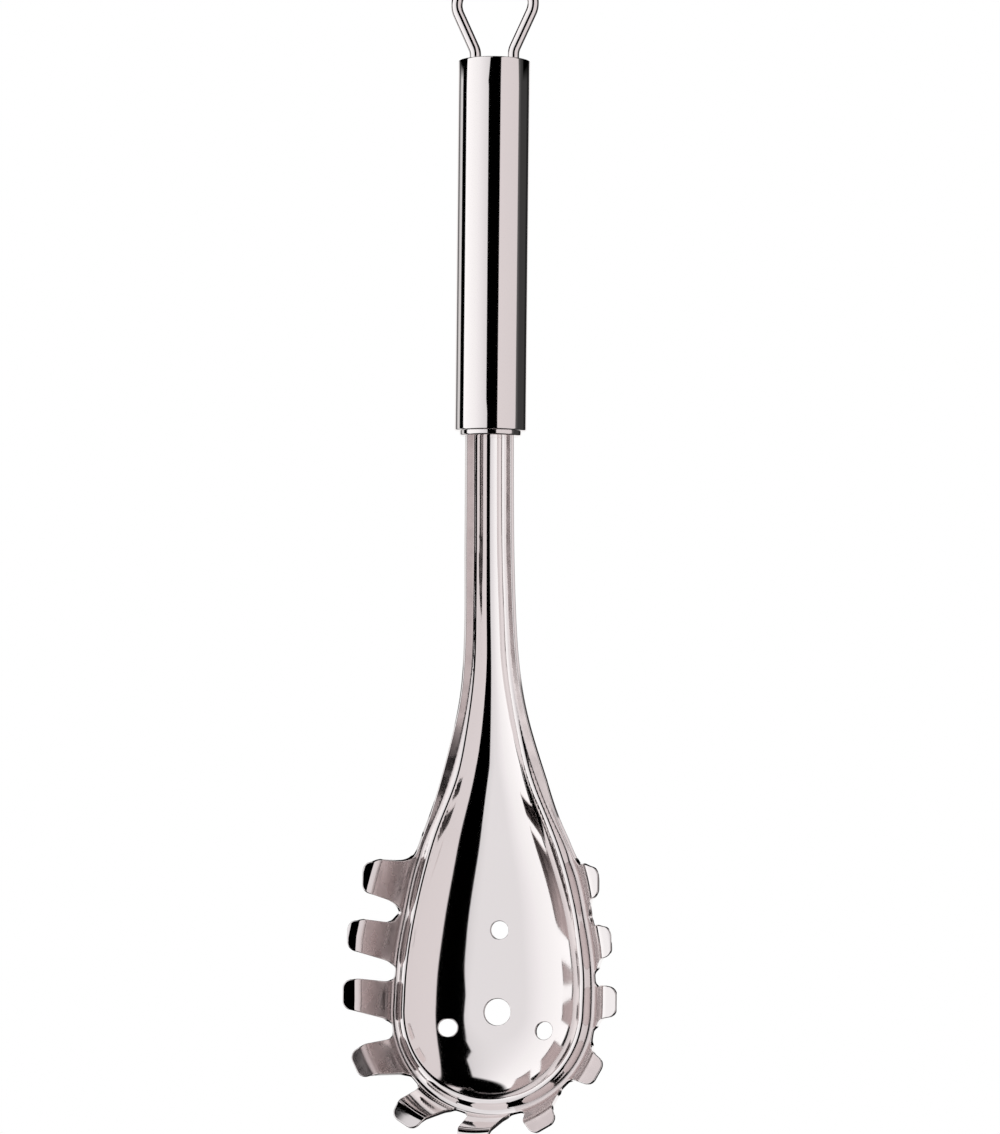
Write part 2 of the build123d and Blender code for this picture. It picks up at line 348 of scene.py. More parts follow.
@dataclass
class ServerHead:
    """The bowl, its eleven teeth and the neck, pressed from one sheet.

    Sizes are in millimetres, angles in degrees.
    """

    neck_run: float = 160.8
    setback: float = 18.2
    tilt: float = 9.0
    crest_x: float = 25.7
    crest_height: float = 7.9
    sheet: float = 1.2
    edge_round: float = 0.3
    crest_bend: float = 1.4
    valley_bend: float = 1.5
    neck_valley_bend: float = 0.8
    flare_bend: float = 3.2
    lip_run: float = 3.7
    tip_slope: float = 13.5
    curl_bend: float = 2.4
    curl_slope: float = -12.0
    curl_start: float = 4.0
    curl_blend: float = 12.0
    dish_fill: float = 0.94
    bend_fill: float = 0.96
    tang: float = 20.0
    tang_round: float = 0.8
    tooth_ring: float = 28.8
    tooth_length: float = 9.8
    tooth_root: float = 10.8
    tooth_tip: float = 7.6
    ring_teeth: int = 3
    tooth_angle: float = 31.2
    tooth_pitch: float = 16.0
    top_tooth_extra: float = 1.2
    tip_round: float = 2.6
    gap_round: float = 2.3
    shoulder_round: float = 5.5
    row_roots: tuple = (1.0, 0.985, 0.895)
    row_tips: tuple = (1.0, 0.965, 0.862)
    large_hole: float = 7.5
    small_hole: float = 5.0
    side_hole: tuple = (13.8, -4.9)
    top_hole: float = 22.9
    # What the polishing wheel misses, left rougher and painted darker as shade: the sheet past
    # the crest, with soft borders, and of the lowest teeth only the dull ones, counted from the
    # very lowest, to the right above zero
    dull_and_shade_start: float = 0.3
    dull_and_shade_fade: float = 0.6
    clear_sine: float = 0.72
    clear_fade: float = 0.16
    dull_and_shaded_teeth: tuple = (-2, 1, 2)
    # How finely the sheet is drawn
    reach: float = 42.0
    facet: float = 0.7
    bend_facet: float = 0.32
    edge_facet: float = 0.25
    edge_turns: tuple = (30, 60, 90)
    fine_step: float = 0.05
    bend_limit: float = 0.1
    probe: float = 0.02
    settling: int = 12
    merge: float = 1e-6
    # Points of the neck's edge that its slope is taken over, and that the shoulder's and the
    # tang's rounds take up
    slope_points: int = 4
    shoulder_points: int = 24
    tang_points: int = 8
    # Worked out from the sizes
    pole: np.ndarray = field(init=False)
    sin: float = field(init=False)
    cos: float = field(init=False)
    curves: dict[str, Callable] = field(init=False)
    valley_v: np.ndarray = field(init=False)
    flange_angles: list[float] = field(init=False)
    flare_runs: list[float] = field(init=False)
    crown_end: float = field(init=False)

    def __post_init__(self) -> None:
        """Works out the frame's places and the curves that the section's corners follow."""
        cap_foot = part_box("lower_cap")[0][2] / MM
        back = self.setback * CROWN[0].depth_share
        self.pole = np.array([0.0, back, cap_foot - self.neck_run])
        self.sin, self.cos = math.sin(math.radians(self.tilt)), math.cos(math.radians(self.tilt))
        end = NECK[-1]
        tang = Station(1 + self.tang / self.neck_run, end.depth_share, end.lean, end.corners)
        stations = CROWN + NECK + (tang,)
        self.curves = {}
        for k, name in enumerate(("dish", "crest", "valley")):
            line = np.array([self.place(s, s.corners[k][1]) for s in stations])
            widths = [s.corners[k][0] * self.crest_x for s in stations]
            self.curves[name + "_x"] = smooth_curve(line[:, 0], widths, True)
            self.curves[name + "_w"] = smooth_curve(line[:, 0], line[:, 1], True)
        self.valley_v, self.crown_end = line[:, 0], float(line[len(CROWN) - 1, 0])
        flares = [np.subtract(s.corners[3], s.corners[2]) for s in stations]
        self.flange_angles = [
            math.atan2(rise * self.crest_height, run * self.crest_x) for run, rise in flares]
        self.flare_runs = [run * self.crest_x for run, _ in flares[:len(CROWN)]]

    def place(self, station: Station, height_share: float) -> tuple[float, float]:
        """Where a corner lies in the bowl's frame.

        Args:
            station: The section.
            height_share: The corner's height, as a share of the crest's.

        Returns:
            v and w in millimetres.
        """
        back = self.setback * station.depth_share - self.pole[1]
        rise = self.neck_run * station.height_share
        turn = math.radians(station.lean - self.tilt)
        height = height_share * self.crest_height
        v = back * self.sin + rise * self.cos + height * math.sin(turn)
        w = -back * self.cos + rise * self.sin + height * math.cos(turn)
        return v, w

    def corners(self, along: np.ndarray) -> tuple[list[np.ndarray], list[np.ndarray]]:
        """The section's corners, from the middle of the dish out to a tooth's tip.

        Args:
            along: Places along the rim, none below the drain hole.

        Returns:
            Each corner's distance from the middle and its height w, at each place.
        """
        c = {name: curve(along) for name, curve in self.curves.items()}
        slope = np.tan(np.interp(along, self.valley_v, self.flange_angles))
        run = np.interp(along, self.valley_v[:len(CROWN)], self.flare_runs)
        flare_x, flare_w = c["valley_x"] + run, c["valley_w"] + run * slope
        on_crown = along < self.crown_end
        lip_slope = np.where(on_crown, math.tan(math.radians(self.tip_slope)), slope)
        lip_x, lip_w = flare_x + self.lip_run, flare_w + self.lip_run * lip_slope
        # Only the upper teeth curl over at their tips
        curl = np.clip((along - self.curl_start) / self.curl_blend, 0, 1) * on_crown
        curl_slope = lip_slope + curl * (math.tan(math.radians(self.curl_slope)) - lip_slope)
        xs = [np.zeros_like(along), c["dish_x"], c["crest_x"], c["valley_x"], flare_x, lip_x,
              lip_x + self.tooth_length]
        ws = [c["dish_w"], c["dish_w"], c["crest_w"], c["valley_w"], flare_w, lip_w,
              lip_w + self.tooth_length * curl_slope]
        return xs, ws

    def radii(self, along: np.ndarray, lengths: list[np.ndarray],
              halves: list[np.ndarray]) -> list[np.ndarray]:
        """The bend at each inner corner of the section, no larger than its straights allow.

        Args:
            along: Places along the rim, none below the drain hole.
            lengths: The straights' lengths, from the middle out.
            halves: Half the turn at each inner corner.

        Returns:
            The radius at each inner corner.
        """
        share = np.clip((along - self.crown_end) / self.tooth_length, 0, 1)
        valley = self.valley_bend + (self.neck_valley_bend - self.valley_bend) * share
        need = self.crest_bend * np.tan(halves[1]) + valley * np.tan(halves[2])
        room = np.minimum(1, self.bend_fill * lengths[2] / need)
        crest = self.crest_bend * room
        dish_room = np.minimum(lengths[0], lengths[1] - crest * np.tan(halves[1]))
        return [self.dish_fill * dish_room / np.tan(halves[0]), crest, valley * room,
                np.full_like(along, self.flare_bend), np.full_like(along, self.curl_bend)]

    def height(self, x: np.ndarray, v: np.ndarray) -> np.ndarray:
        """How far the sheet's front stands out at places in the bowl's frame.

        Below the drain hole the form is turned; above it the section changes along v.

        Args:
            x: Places across.
            v: Places along the rim.

        Returns:
            w at each place, in millimetres.
        """
        x, v = np.broadcast_arrays(np.abs(np.asarray(x, float)), np.asarray(v, float))
        out, along = np.hypot(x, np.minimum(v, 0)), np.maximum(v, 0)
        xs, ws = self.corners(along)
        runs, rises = np.diff(xs, axis=0), np.diff(ws, axis=0)
        slopes, lengths = np.arctan2(rises, runs), np.hypot(rises, runs)
        halves = np.abs(np.diff(slopes, axis=0)) / 2
        radii = self.radii(along, lengths, halves)
        w = ws[0]
        for k in range(1, len(slopes)):
            w = np.where(out > xs[k], ws[k] + (out - xs[k]) * np.tan(slopes[k]), w)
        for k in range(1, len(slopes)):
            first, last, radius = slopes[k - 1], slopes[k], radii[k - 1]
            reach = radius * np.tan(halves[k - 1])
            bend = np.where(last > first, 1.0, -1.0)
            start = xs[k] - reach * np.cos(first)
            stop = xs[k] + reach * np.cos(last)
            middle_x = start - bend * radius * np.sin(first)
            middle_w = ws[k] - reach * np.sin(first) + bend * radius * np.cos(first)
            sag = np.sqrt(np.maximum(radius ** 2 - (out - middle_x) ** 2, 0))
            w = np.where((out > start) & (out < stop), middle_w - bend * sag, w)
        return w

    def unpolished_and_shade(self, x: np.ndarray, v: np.ndarray) -> np.ndarray:
        """How little the polishing wheel reaches each place, which also sets where shade is painted.

        Args:
            x: Places across.
            v: Places along the rim.

        Returns:
            0 where it is polished to 1 where it stays dull and is painted darker as shade.
        """
        out, along = np.hypot(x, np.minimum(v, 0)), np.maximum(v, 0)
        crest, valley = self.curves["crest_x"](along), self.curves["valley_x"](along)
        flare = valley + np.interp(along, self.valley_v[:len(CROWN)], self.flare_runs)
        inner = np.clip((out - crest - self.dull_and_shade_start) / (valley - crest), 0, 1)
        outer = np.clip((flare + self.dull_and_shade_fade - out) / (2 * self.dull_and_shade_fade), 0, 1)
        # The lowest teeth stand clear of the others, so the wheel reaches them all over and they
        # get no painted shade
        upright = np.clip((v / np.maximum(out, 1) + self.clear_sine) / self.clear_fade, 0, 1)
        # A few of the ring's teeth were left dull to their tips, and are painted darker as shade there
        number = np.round((np.degrees(np.arctan2(v, x)) + 90) / self.tooth_angle)
        missed_and_shaded = np.isin(number, self.dull_and_shaded_teeth) & (v < 0)
        return inner * np.maximum(outer * upright, missed_and_shaded)

    def normal(self, x: np.ndarray, v: np.ndarray) -> np.ndarray:
        """The front's outward direction, by small differences.

        Args:
            x: Places across.
            v: Places along the rim.

        Returns:
            Directions in the bowl's frame, each of length 1.
        """
        h = self.probe
        across = (self.height(x + h, v) - self.height(x - h, v)) / (2 * h)
        along = (self.height(x, v + h) - self.height(x, v - h)) / (2 * h)
        out = np.stack([-across, -along, np.ones_like(across)], axis=-1)
        return out / np.linalg.norm(out, axis=-1, keepdims=True)

    def to_row(self, vectors: np.ndarray) -> np.ndarray:
        """Turns directions from the bowl's frame (x, v, w) to the row frame."""
        x, v, w = vectors[..., 0], vectors[..., 1], vectors[..., 2]
        return np.stack([x, v * self.sin - w * self.cos, v * self.cos + w * self.sin], axis=-1)

    def tooth(self, root_x: float, tip_x: float) -> list[Point]:
        """Corners of one tooth that points to the right.

        Args:
            root_x: Where its root lies.
            tip_x: Where its tip lies.

        Returns:
            Its lower root corner, its two tip corners and its upper root corner.
        """
        root, tip = self.tooth_root / 2, self.tooth_tip / 2
        return [(root_x, -root), (tip_x, -tip), (tip_x, tip), (root_x, root)]

    def neck_side(self) -> list[Point]:
        """The neck's right edge, from the top tooth up to the tang's end.

        Returns:
            Its points in the bowl's frame.
        """
        rises = [self.neck_run * s.height_share for s in CROWN[-1:] + NECK]
        rises.append(self.neck_run + self.tang)
        halves = [share * self.crest_x for share in NECK_SIDES + NECK_SIDES[-1:]]
        width = smooth_curve(rises, halves, False)
        rise = np.linspace(rises[0], rises[-1], int((rises[-1] - rises[0]) / self.edge_facet))
        # The width is that of the whole cut edge, so the front stops short by the sheet's lean
        outer, v = width(rise), rise / self.cos
        half = outer
        for _ in range(self.settling):
            v = (rise - self.height(half, v) * self.sin) / self.cos
            half = outer + self.sheet * np.minimum(self.normal(half, v)[:, 0], 0)
        return list(zip(half.tolist(), v.tolist()))

    def outline(self) -> np.ndarray:
        """The cut edge of the whole sheet.

        Returns:
            Its points close together, anticlockwise.
        """
        # From the lowest tooth's middle: teeth in a ring, then the straight row above them
        root_x, tip_x = self.tooth_ring, self.tooth_ring + self.tooth_length
        right = []
        for k in range(self.ring_teeth):
            turn = Matrix.Rotation(math.radians(k * self.tooth_angle - 90), 2)
            right += [tuple(turn @ Vector(corner)) for corner in self.tooth(root_x, tip_x)]
        right = right[2:]
        row_angle = math.radians(self.ring_teeth * self.tooth_angle - 90)
        for k, (root, tip) in enumerate(zip(self.row_roots, self.row_tips)):
            middle = root_x * math.sin(row_angle) + self.tooth_pitch * k
            right += [(x, middle + v) for x, v in self.tooth(root_x * root, tip_x * tip)]
        # Tip corners come in pairs between pairs of root corners
        bends = [self.tip_round if k % 4 in (0, 3) else self.gap_round for k in range(len(right))]
        bends[-1] = self.shoulder_round
        # The top tooth's upper root corner lies where the neck's edge, drawn on, meets its level
        side = self.neck_side()
        lean = Vector(side[0]) - Vector(side[self.slope_points])
        top_v = right[-1][1] + self.top_tooth_extra
        right[-1] = (side[0][0] + lean.x / lean.y * (top_v - side[0][1]), top_v)
        start = (0.0, right[0][1])
        shoulder, corner = self.shoulder_points, -self.tang_points
        half = rounded([start, *right, side[shoulder]], bends, self.edge_facet)[1:]
        half += side[shoulder + 1:corner]
        end = [side[corner], side[-1], (0.0, side[-1][1])]
        half = np.array(half + rounded(end, [self.tang_round], self.edge_facet))
        return np.vstack([[start], half, half[-2::-1] * (-1, 1)])

    def holes(self) -> list[np.ndarray]:
        """The rims of the four drain holes.

        Returns:
            Each rim's points, clockwise.
        """
        places = [(0.0, 0.0, self.large_hole), (0.0, self.top_hole, self.small_hole)]
        places += [(side * self.side_hole[0], self.side_hole[1], self.small_hole) for side in (-1, 1)]
        out = []
        for x, v, diameter in places:
            count = int(math.pi * diameter / self.edge_facet)
            turn = -2 * math.pi * np.arange(count) / count
            ring = np.stack([np.cos(turn), np.sin(turn)], axis=-1) * diameter / 2
            out.append(ring + (x, v))
        return out

    def row_places(self, v: float) -> np.ndarray:
        """Places across one half row, closer together where the sheet is bent or steep.

        Args:
            v: The row's place along the rim.

        Returns:
            Rising places, the middle itself left out.
        """
        fine = np.arange(0.0, self.reach, self.fine_step)
        rise = np.diff(self.height(fine, np.full_like(fine, v)))
        slope = np.arctan2(rise, self.fine_step)
        run = self.fine_step / np.cos(slope)
        turn = np.abs(np.diff(slope, append=slope[-1])) / run
        step = np.where(turn > self.bend_limit, self.bend_facet, self.facet)
        count = np.concatenate([[0], np.cumsum(run / step)])
        return np.interp(np.arange(0.5, count[-1], 1.0), count, fine)

    def inner_points(self, top: float) -> np.ndarray:
        """Places all over the sheet, in turned rows below the drain hole and level rows above.

        Args:
            top: Where along the rim the sheet ends.

        Returns:
            The places, those past the sheet's cut edges too.
        """
        out = []
        for radius in self.row_places(0.0):
            count = max(LEAST_STEPS, round(math.pi * radius / self.facet))
            turn = -math.pi * (np.arange(count) + 0.5) / count
            out.append(np.stack([np.cos(turn), np.sin(turn)], axis=-1) * radius)
        for v in np.arange(self.facet / 4, top, self.facet):
            x = self.row_places(v)
            x = np.concatenate([-x[::-1], x])
            out.append(np.stack([x, np.full_like(x, v)], axis=-1))
        return np.vstack(out)

    def inward(self, loop: np.ndarray) -> np.ndarray:
        """Directions into the sheet along a cut edge.

        Args:
            loop: The edge's points, with the sheet on their left.

        Returns:
            A direction at each point, square to the edge and to the front's own direction.
        """
        x, v = loop[:, 0], loop[:, 1]
        place = np.stack([x, v, self.height(x, v)], axis=-1)
        along = np.roll(place, -1, axis=0) - np.roll(place, 1, axis=0)
        inward = np.cross(self.normal(x, v), along)
        return inward / np.linalg.norm(inward, axis=-1, keepdims=True)

    def front(self) -> tuple[np.ndarray, list[tuple], list[tuple[np.ndarray, np.ndarray]]]:
        """Fills the front with triangles, up to where its cut edges begin to turn over.

        Returns:
            Places across and along the rim, triangles, and each edge's points and their numbers.
        """
        loops = [loop + self.inward(loop)[:, :2] * self.edge_round
                 for loop in (self.outline(), *self.holes())]
        inner = self.inner_points(loops[0][:, 1].max())
        edge = np.vstack(loops)
        gaps = np.array([np.min(np.sum((edge - place) ** 2, axis=1)) for place in inner])
        points = np.vstack([edge, inner[gaps > self.edge_facet ** 2]])
        starts = np.cumsum([0] + [len(loop) for loop in loops])
        rings = [list(range(first, last)) for first, last in zip(starts, starts[1:])]
        borders = rings[:1] + [ring[::-1] for ring in rings[1:]]
        flat, _, faces, sources, _, owners = delaunay_2d_cdt(
            [Vector(place) for place in points.tolist()], [], borders, INSIDE_BORDERS, self.merge)
        triangles = [tuple(face) for face, owner in zip(faces, owners) if owner == [0]]
        number = {source: new for new, found in enumerate(sources) for source in found}
        edges = [(loop, np.array([number[i] for i in ring])) for loop, ring in zip(loops, rings)]
        return np.array([tuple(place) for place in flat]), triangles, edges

    def mesh(self) -> bpy.types.Mesh:
        """The whole sheet: front, back and rounded cut edges, with true normals.

        Returns:
            The mesh in the row frame, in metres.
        """
        flat, faces, edges = self.front()
        x, v = flat[:, 0], flat[:, 1]
        count = len(flat)
        front, normals = np.stack([x, v, self.height(x, v)], axis=-1), self.normal(x, v)
        places, directions = [front, front - normals * self.sheet], [normals, -normals]
        faces += [tuple(corner + count for corner in reversed(face)) for face in faces]
        # Each cut edge turns over from the front, runs through the sheet and turns to the back
        turns = [(turn, self.edge_round) for turn in self.edge_turns]
        turns += [(180 - turn, self.sheet - self.edge_round) for turn in self.edge_turns[::-1]]
        total = 2 * count
        for loop, at in edges:
            inward = self.inward(loop)
            rows = [at]
            for turn, depth in turns:
                cosine, sine = math.cos(math.radians(turn)), math.sin(math.radians(turn))
                way = normals[at] * cosine - inward * sine
                places.append(front[at] - normals[at] * depth + way * self.edge_round)
                directions.append(way)
                rows.append(np.arange(total, total + len(at)))
                total += len(at)
            rows.append(at + count)
            for upper, lower in zip(rows, rows[1:]):
                following = np.roll(lower, -1), np.roll(upper, -1)
                faces += zip(*(row.tolist() for row in (upper, lower, *following)))
        low, high = (np.array(corner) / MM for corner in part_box("server_head"))
        row = np.clip(self.to_row(np.vstack(places)) + self.pole, low, high)
        mesh = bpy.data.meshes.new("server_head_sheet")
        mesh.from_pydata((row * MM).tolist(), [], faces)
        mesh.validate()
        mesh.shade_smooth()
        mesh.normals_split_custom_set_from_vertices(self.to_row(np.vstack(directions)).tolist())
        # Where the front stays dull it is rougher and also painted darker as shade; the back and edges
        # get neither
        dull_and_shade = np.zeros(len(row), dtype=np.float32)
        dull_and_shade[:count] = self.unpolished_and_shade(x, v)
        mesh.attributes.new(UNPOLISHED_AND_SHADE, "FLOAT", "POINT").data.foreach_set("value", dull_and_shade)
        return mesh

    def build(self) -> bpy.types.Object:
        """Makes the head and dresses it."""
        return add_piece("polished_server_head", self.mesh(), Finish.SHEET, "server_head")


def turned(name: str, profile: Sequence[Point], sides: int = 192,
           sharp_from: float = 35.0) -> bpy.types.Mesh:
    """A closed turned form round the handle's axis.

    Args:
        name: The mesh's name.
        profile: Radius and height in millimetres, in order; a radius of zero is a pole.
        sides: Facets round the axis.
        sharp_from: The angle in degrees from which an edge is shown sharp.

    Returns:
        The mesh in the row frame, in metres.
    """
    made = bmesh.new()
    verts = [made.verts.new((radius * MM, 0.0, z * MM)) for radius, z in profile]
    edges = [made.edges.new(pair) for pair in zip(verts, verts[1:])]
    if profile[0][0] > 0:
        edges.append(made.edges.new((verts[-1], verts[0])))
    bmesh.ops.spin(made, geom=verts + edges, cent=(0, 0, 0), axis=(0, 0, 1), angle=2 * math.pi,
                   steps=sides, use_merge=True)
    bmesh.ops.remove_doubles(made, verts=made.verts, dist=MERGE)
    bmesh.ops.recalc_face_normals(made, faces=made.faces)
    mesh = bpy.data.meshes.new(name)
    made.to_mesh(mesh)
    made.free()
    mesh.shade_smooth()
    mesh.set_sharp_from_angle(angle=math.radians(sharp_from))
    return mesh


@dataclass
class Handle:
    """The hollow round handle and the caps in its two ends. Sizes are in millimetres."""

    diameter: float = 20.0
    wall: float = 1.0
    end_round: float = 0.4
    bore_round: float = 0.1
    cap_depth: float = 3.0
    cap_fit: float = 0.02
    plug_round: float = 0.05
    lip_diameter: float = 17.2
    lip_round: float = 0.5
    straight_step: float = 8.0
    finish: Finish = Finish.TUBE

    def tube(self) -> bpy.types.Object:
        """Makes the tube, its outer ends softened.

        Returns:
            The dressed tube.
        """
        low, high = (corner[2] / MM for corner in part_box("handle_tube"))
        outer, bore, middle = self.diameter / 2, self.diameter / 2 - self.wall, (low + high) / 2
        line = [(bore, middle), (bore, low), (outer, low), (outer, high), (bore, high), (bore, middle)]
        bends = [self.bore_round, self.end_round, self.end_round, self.bore_round]
        profile = rounded(line, bends, self.straight_step)
        mesh = turned("handle_tube_wall", profile[:-1])
        return add_piece("polished_handle_tube", mesh, self.finish, "handle_tube")

    def lower_cap(self) -> bpy.types.Object:
        """Makes the plug that carries the neck, with its rounded lip below the tube.

        Returns:
            The dressed cap.
        """
        low, high = (corner[2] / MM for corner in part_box("lower_cap"))
        lip, plug = self.lip_diameter / 2, self.diameter / 2 - self.wall - self.cap_fit
        shoulder = high - self.cap_depth
        line = [(0.0, low), (lip, low), (lip, shoulder), (plug, shoulder), (plug, high), (0.0, high)]
        bends = [self.lip_round, self.plug_round, self.plug_round, self.plug_round]
        mesh = turned("lower_cap_plug", rounded(line, bends, self.straight_step))
        return add_piece("polished_lower_cap", mesh, Finish.CAP, "lower_cap")

    def upper_cap(self) -> bpy.types.Object:
        """Makes the plug that carries the loop, flush with the tube's end.

        Returns:
            The dressed cap.
        """
        low, high = (corner[2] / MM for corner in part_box("upper_cap"))
        plug = self.diameter / 2 - self.wall - self.cap_fit
        line = [(0.0, low), (plug, low), (plug, high), (0.0, high)]
        bends = [self.plug_round, self.end_round]
        mesh = turned("upper_cap_plug", rounded(line, bends, self.straight_step))
        return add_piece("polished_upper_cap", mesh, Finish.CAP, "upper_cap")

    def build(self) -> list[bpy.types.Object]:
        """Makes the tube and both caps."""
        return [self.tube(), self.lower_cap(), self.upper_cap()]


@dataclass
class HangingLoop:
    """The loop of round wire that the server hangs by. Sizes are in millimetres."""

    wire: float = 3.2
    leg_x: float = 5.4
    leg_inside: float = 6.0
    leg_rise: float = 2.9
    shoulder_x: float = 11.7
    shoulder_rise: float = 16.4
    peak_rise: float = 33.5
    leg_bend: float = 5.0
    shoulder_bend: float = 6.0
    peak_bend: float = 8.0
    arc_steps: int = 24
    round_steps: int = 64
    sharp_from: float = 50.0

    def route(self) -> bpy.types.Mesh:
        """The wire's corners, from one leg's end round to the other's.

        Returns:
            A line of edges whose points each carry the radius of their bend.
        """
        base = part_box("handle_tube")[1][2] / MM
        half = [(self.leg_x, base - self.leg_inside, 0.0),
                (self.leg_x, base + self.leg_rise, self.leg_bend),
                (self.shoulder_x, base + self.shoulder_rise, self.shoulder_bend)]
        corners = half + [(0.0, base + self.peak_rise, self.peak_bend)]
        corners += [(-x, z, bend) for x, z, bend in reversed(half)]
        mesh = bpy.data.meshes.new("hanging_loop_route")
        mesh.from_pydata([(x * MM, 0.0, z * MM) for x, z, _ in corners],
                         [(k, k + 1) for k in range(len(corners) - 1)], [])
        bends = mesh.attributes.new("bend", "FLOAT", "POINT")
        bends.data.foreach_set("value", [bend * MM for _, _, bend in corners])
        return mesh

    def tree(self) -> bpy.types.NodeTree:
        """Node tree that bends a wire along a line of corners.

        Returns:
            The tree, with the wire's diameter, its facets and its material as inputs.
        """
        tree = bpy.data.node_groups.new("bent_wire", "GeometryNodeTree")
        tree.interface.new_socket("Geometry", in_out="OUTPUT", socket_type="NodeSocketGeometry")
        for name, kind in (("Route", "Geometry"), ("Wire Radius", "Float"), ("Arc Steps", "Int"),
                           ("Round Steps", "Int"), ("Steel", "Material")):
            tree.interface.new_socket(name, in_out="INPUT", socket_type="NodeSocket" + kind)
        given = add_node(tree, "NodeGroupInput").outputs
        line = add_node(tree, "GeometryNodeMeshToCurve", {"Mesh": given["Route"]})
        bend = add_node(tree, "GeometryNodeInputNamedAttribute", {"Name": "bend"}, data_type="FLOAT")
        arcs = add_node(tree, "GeometryNodeFilletCurve", {
            "Curve": line.outputs[0], "Radius": bend.outputs[0],
            "Count": given["Arc Steps"]}, mode="POLY")
        ring = add_node(tree, "GeometryNodeCurvePrimitiveCircle", {
            "Resolution": given["Round Steps"], "Radius": given["Wire Radius"]})
        wire = add_node(tree, "GeometryNodeCurveToMesh", {
            "Curve": arcs.outputs[0], "Profile Curve": ring.outputs[0], "Fill Caps": True})
        real = add_node(tree, "GeometryNodeRealizeInstances", {"Geometry": wire.outputs[0]})
        steel = add_node(tree, "GeometryNodeSetMaterial", {
            "Geometry": real.outputs[0], "Material": given["Steel"]})
        add_node(tree, "NodeGroupOutput", {"Geometry": steel.outputs[0]})
        return tree

    def build(self) -> bpy.types.Object:
        """Bends the wire and dresses it.

        Returns:
            The dressed loop.
        """
        carrier = bpy.data.objects.new("hanging_loop_carrier", self.route())
        bpy.context.scene.collection.objects.link(carrier)
        modifier = carrier.modifiers.new("wire", "NODES")
        modifier.node_group = self.tree()
        values = {"Wire Radius": self.wire / 2 * MM, "Arc Steps": self.arc_steps,
                  "Round Steps": self.round_steps, "Steel": Finish.WIRE.material()}
        for socket in modifier.node_group.interface.items_tree:
            if socket.name in values:
                modifier[socket.identifier] = values[socket.name]
        graph = bpy.context.evaluated_depsgraph_get()
        mesh = bpy.data.meshes.new_from_object(carrier.evaluated_get(graph), depsgraph=graph)
        bpy.data.objects.remove(carrier)
        mesh.name = "hanging_loop_wire"
        mesh.shade_smooth()
        mesh.set_sharp_from_angle(angle=math.radians(self.sharp_from))
        return add_piece("polished_hanging_loop", mesh, Finish.WIRE, "hanging_loop")


@dataclass(frozen=True)
class Stretch:
    """A stretch of what stands round the object, from one angle to the next one's.

    Its light passes evenly from the first level to the last, where 1 is white.
    """

    start: float
    first: float
    last: float
    tint: str = "FFFFFF"


